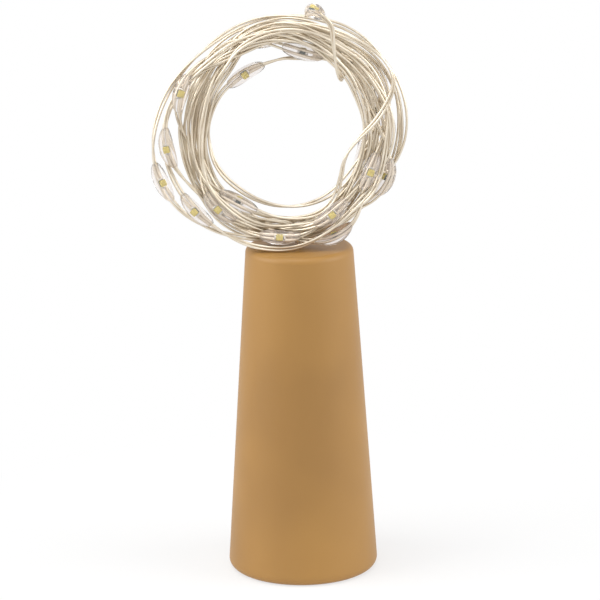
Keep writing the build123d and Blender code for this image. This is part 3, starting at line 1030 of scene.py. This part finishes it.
def resistor_material():
    """A black chip resistor with tinned ends."""
    colours = ((0.012, 0.012, 0.014), (0.02, 0.02, 0.022))
    sizes = (board_cloud, board_grain, board_grain_depth)
    roughness = (0.3, 0.45)
    material = surface("resistor", colours, roughness, sizes)
    tree = material.node_tree
    low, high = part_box("resistor")
    spans = [high[axis] - low[axis] for axis in range(3)]
    long_axis = spans.index(max(spans))
    place = tree.nodes.new("ShaderNodeTexCoord")
    split = tree.nodes.new("ShaderNodeSeparateXYZ")
    tree.links.new(place.outputs["Generated"], split.inputs["Vector"])
    middle = added(tree, "ShaderNodeMath", "SUBTRACT")
    half = 0.5
    middle.inputs[1].default_value = half
    tree.links.new(split.outputs[long_axis], middle.inputs[0])
    away = added(tree, "ShaderNodeMath", "ABSOLUTE")
    tree.links.new(middle.outputs[0], away.inputs[0])
    at_end = added(tree, "ShaderNodeMath", "GREATER_THAN")
    at_end.inputs[1].default_value = half - resistor_end / spans[long_axis]
    tree.links.new(away.outputs[0], at_end.inputs[0])
    shader = tree.nodes["Principled BSDF"]
    tin = tree.nodes.new("ShaderNodeBsdfPrincipled")
    tin.inputs["Base Color"].default_value = (0.62, 0.62, 0.60, 1)
    tin.inputs["Metallic"].default_value = 1
    tin.inputs["Roughness"].default_value = 0.3
    mix = tree.nodes.new("ShaderNodeMixShader")
    tree.links.new(at_end.outputs[0], mix.inputs[0])
    tree.links.new(shader.outputs[0], mix.inputs[1])
    tree.links.new(tin.outputs[0], mix.inputs[2])
    tree.links.new(mix.outputs[0], tree.nodes["Material Output"].inputs["Surface"])
    return material


def solder_material():
    """Bright solder with duller spots."""
    colours = ((0.50, 0.50, 0.49), (0.68, 0.68, 0.67))
    sizes = (solder_cloud, solder_grain, solder_grain_depth)
    roughness = (0.18, 0.4)
    return surface("solder", colours, roughness, sizes, metallic=1.0)


def wire_material():
    """Champagne enamel over bright wire."""
    colours = ((0.70, 0.61, 0.48), (0.83, 0.75, 0.62))
    sizes = (wire_cloud, wire_grain, wire_grain_depth)
    roughness = (0.25, 0.33)
    return surface("wire", colours, roughness, sizes, metallic=0.82)


def epoxy_material():
    """Clear resin with a faint pink cast and a slightly wavy skin."""
    material, tree, shader = material_with("epoxy")
    shader.inputs["Base Color"].default_value = (0.97, 0.93, 0.91, 1)
    shader.inputs["Roughness"].default_value = 0.04
    shader.inputs["IOR"].default_value = 1.38
    shader.inputs["Transmission Weight"].default_value = 0.88
    rippled(tree, shader, noise(tree, resin_grain, cloud_detail), resin_grain_depth)
    return material


def phosphor_material():
    """The cream-yellow silicone of a white light's chip."""
    colours = ((0.68, 0.54, 0.09), (0.78, 0.65, 0.15))
    roughness = (0.4, 0.6)
    sizes = (chip_grain, chip_grain, chip_grain_depth)
    return surface("phosphor", colours, roughness, sizes)


def chip_back_material():
    """The dark green underside of a chip."""
    colours = ((0.03, 0.05, 0.035), (0.05, 0.075, 0.055))
    roughness = (0.35, 0.5)
    sizes = (chip_grain, chip_grain, chip_grain_depth)
    return surface("chip_back", colours, roughness, sizes)


def light_solder_material():
    """The lights' solder, dull between its bright spots."""
    colours = ((0.56, 0.54, 0.51), (0.72, 0.70, 0.66))
    sizes = (solder_cloud, solder_grain, solder_grain_depth)
    roughness = (0.25, 0.45)
    return surface("light_solder", colours, roughness, sizes, metallic=1.0)


def dress(names, material):
    """Give CAD nodes a material."""
    for name in names:
        mesh = nodes[name].data
        mesh.materials.clear()
        mesh.materials.append(material)


def dress_body():
    """The finishes of the cork and of what it holds."""
    cells = [name for name in nodes if name.startswith("button_cell_")]
    dress(["cork_shell"], cork_material())
    dress(["wire_seal"], seal_material())
    dress(["battery_carrier"], carrier_material())
    dress(cells, cell_material())
    dress(["spring_contact", "contact_plate"], contact_material())
    dress(["switch_can"], switch_can_material())
    dress(["switch_base"], switch_base_material())
    dress(["switch_knob"], knob_material())
    dress(["switch_wiper"], wiper_material())
    dress(["switch_board"], board_material())
    dress(["resistor"], resistor_material())
    dress(["switch_terminals", "solder_joints"], solder_material())


# The scene around the part


def make_camera():
    """The photograph's camera: its place, its distance and the frame's lean."""
    pitch = math.radians(view_elevation)
    below = math.atan((view_row - photo_size / 2) / focal_pixels)
    camera = bpy.data.cameras.new("photo_camera")
    camera.sensor_width = sensor_width * millimetres_per_metre
    camera.lens = camera.sensor_width * focal_pixels / photo_size
    camera.clip_start = near_clip
    holder = bpy.data.objects.new("photo_camera", camera)
    place = (0, -view_distance * math.cos(pitch), view_height + view_distance * math.sin(pitch))
    tilt = math.pi / 2 - pitch + below
    turned = Matrix.Rotation(tilt, 4, "X") @ Matrix.Rotation(math.radians(-view_lean), 4, "Z")
    holder.matrix_world = Matrix.Translation(place) @ turned
    bpy.context.scene.collection.objects.link(holder)
    bpy.context.scene.camera = holder


def area_lamp(name, place, power):
    """A square lamp that points at the part."""
    lamp = bpy.data.lights.new(name, "AREA")
    lamp.shape = "SQUARE"
    lamp.size = lamp_size
    lamp.energy = power
    holder = bpy.data.objects.new(name, lamp)
    holder.location = place
    direction = Vector(lamp_target) - Vector(place)
    holder.rotation_euler = direction.to_track_quat("-Z", "Y").to_euler()
    bpy.context.scene.collection.objects.link(holder)


def seen_straight(tree):
    """One where the camera, a reflection or a clear piece looks, and zero for the light."""
    rays = tree.nodes.new("ShaderNodeLightPath")
    seen = added(tree, "ShaderNodeMath", "MAXIMUM")
    seen_any = added(tree, "ShaderNodeMath", "MAXIMUM")
    tree.links.new(rays.outputs["Is Camera Ray"], seen.inputs[0])
    tree.links.new(rays.outputs["Is Glossy Ray"], seen.inputs[1])
    tree.links.new(seen.outputs[0], seen_any.inputs[0])
    tree.links.new(rays.outputs["Is Transmission Ray"], seen_any.inputs[1])
    return seen_any.outputs[0]


def make_floor():
    """A pale floor that keeps the part's shadow and is white to the camera further off."""
    material, tree, shader = material_with("floor")
    shader.inputs["Base Color"].default_value = floor_colour
    shader.inputs["Roughness"].default_value = floor_roughness
    place = tree.nodes.new("ShaderNodeTexCoord")
    away = added(tree, "ShaderNodeVectorMath", "LENGTH")
    tree.links.new(place.outputs["Object"], away.inputs[0])
    whiter = tree.nodes.new("ShaderNodeMapRange")
    whiter.inputs["From Min"].default_value = shadow_near
    whiter.inputs["From Max"].default_value = shadow_far
    whiter.inputs["To Min"].default_value = shadow_share
    whiter.inputs["To Max"].default_value = 1.0
    tree.links.new(away.outputs["Value"], whiter.inputs["Value"])
    share = added(tree, "ShaderNodeMath", "MULTIPLY")
    tree.links.new(seen_straight(tree), share.inputs[0])
    tree.links.new(whiter.outputs["Result"], share.inputs[1])
    glow = tree.nodes.new("ShaderNodeEmission")
    mix = tree.nodes.new("ShaderNodeMixShader")
    tree.links.new(share.outputs[0], mix.inputs[0])
    tree.links.new(shader.outputs[0], mix.inputs[1])
    tree.links.new(glow.outputs[0], mix.inputs[2])
    tree.links.new(mix.outputs[0], tree.nodes["Material Output"].inputs["Surface"])
    half = floor_size / 2
    corners = [(-half, -half, 0), (half, -half, 0), (half, half, 0), (-half, half, 0)]
    floor = mesh_object("floor", corners, [(0, 1, 2, 3)], material)


def make_world():
    """White for what the camera and reflections see, and an even soft light for the rest."""
    world = bpy.data.worlds.new("studio")
    world.use_nodes = True
    bpy.context.scene.world = world
    tree = world.node_tree
    background = tree.nodes["Background"]
    background.inputs["Color"].default_value = (1, 1, 1, 1)
    strength = tree.nodes.new("ShaderNodeMapRange")
    strength.inputs["To Min"].default_value = soft_light
    strength.inputs["To Max"].default_value = 1.0
    tree.links.new(seen_straight(tree), strength.inputs["Value"])
    tree.links.new(strength.outputs[0], background.inputs["Strength"])


def make_lamps():
    """Two wide soft lamps at the sides and a weaker one above."""
    area_lamp("left_lamp", left_lamp_place, left_lamp_power)
    area_lamp("right_lamp", right_lamp_place, right_lamp_power)
    area_lamp("top_lamp", top_lamp_place, top_lamp_power)


def build():
    """Make the camera, the string, the finishes and the studio."""
    bpy.context.scene.view_settings.view_transform = "Standard"
    make_camera()
    line, marks = string_line()
    wire = wire_material()
    string = two_wires(line, marks, wire)
    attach(string, "cork_body")
    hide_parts("inner_cord", "string_lead", "string_coil", "string_tail")
    string_lights(line, marks)
    inner_leads(wire)
    dress_body()
    make_floor()
    make_world()
    make_lamps()


build()
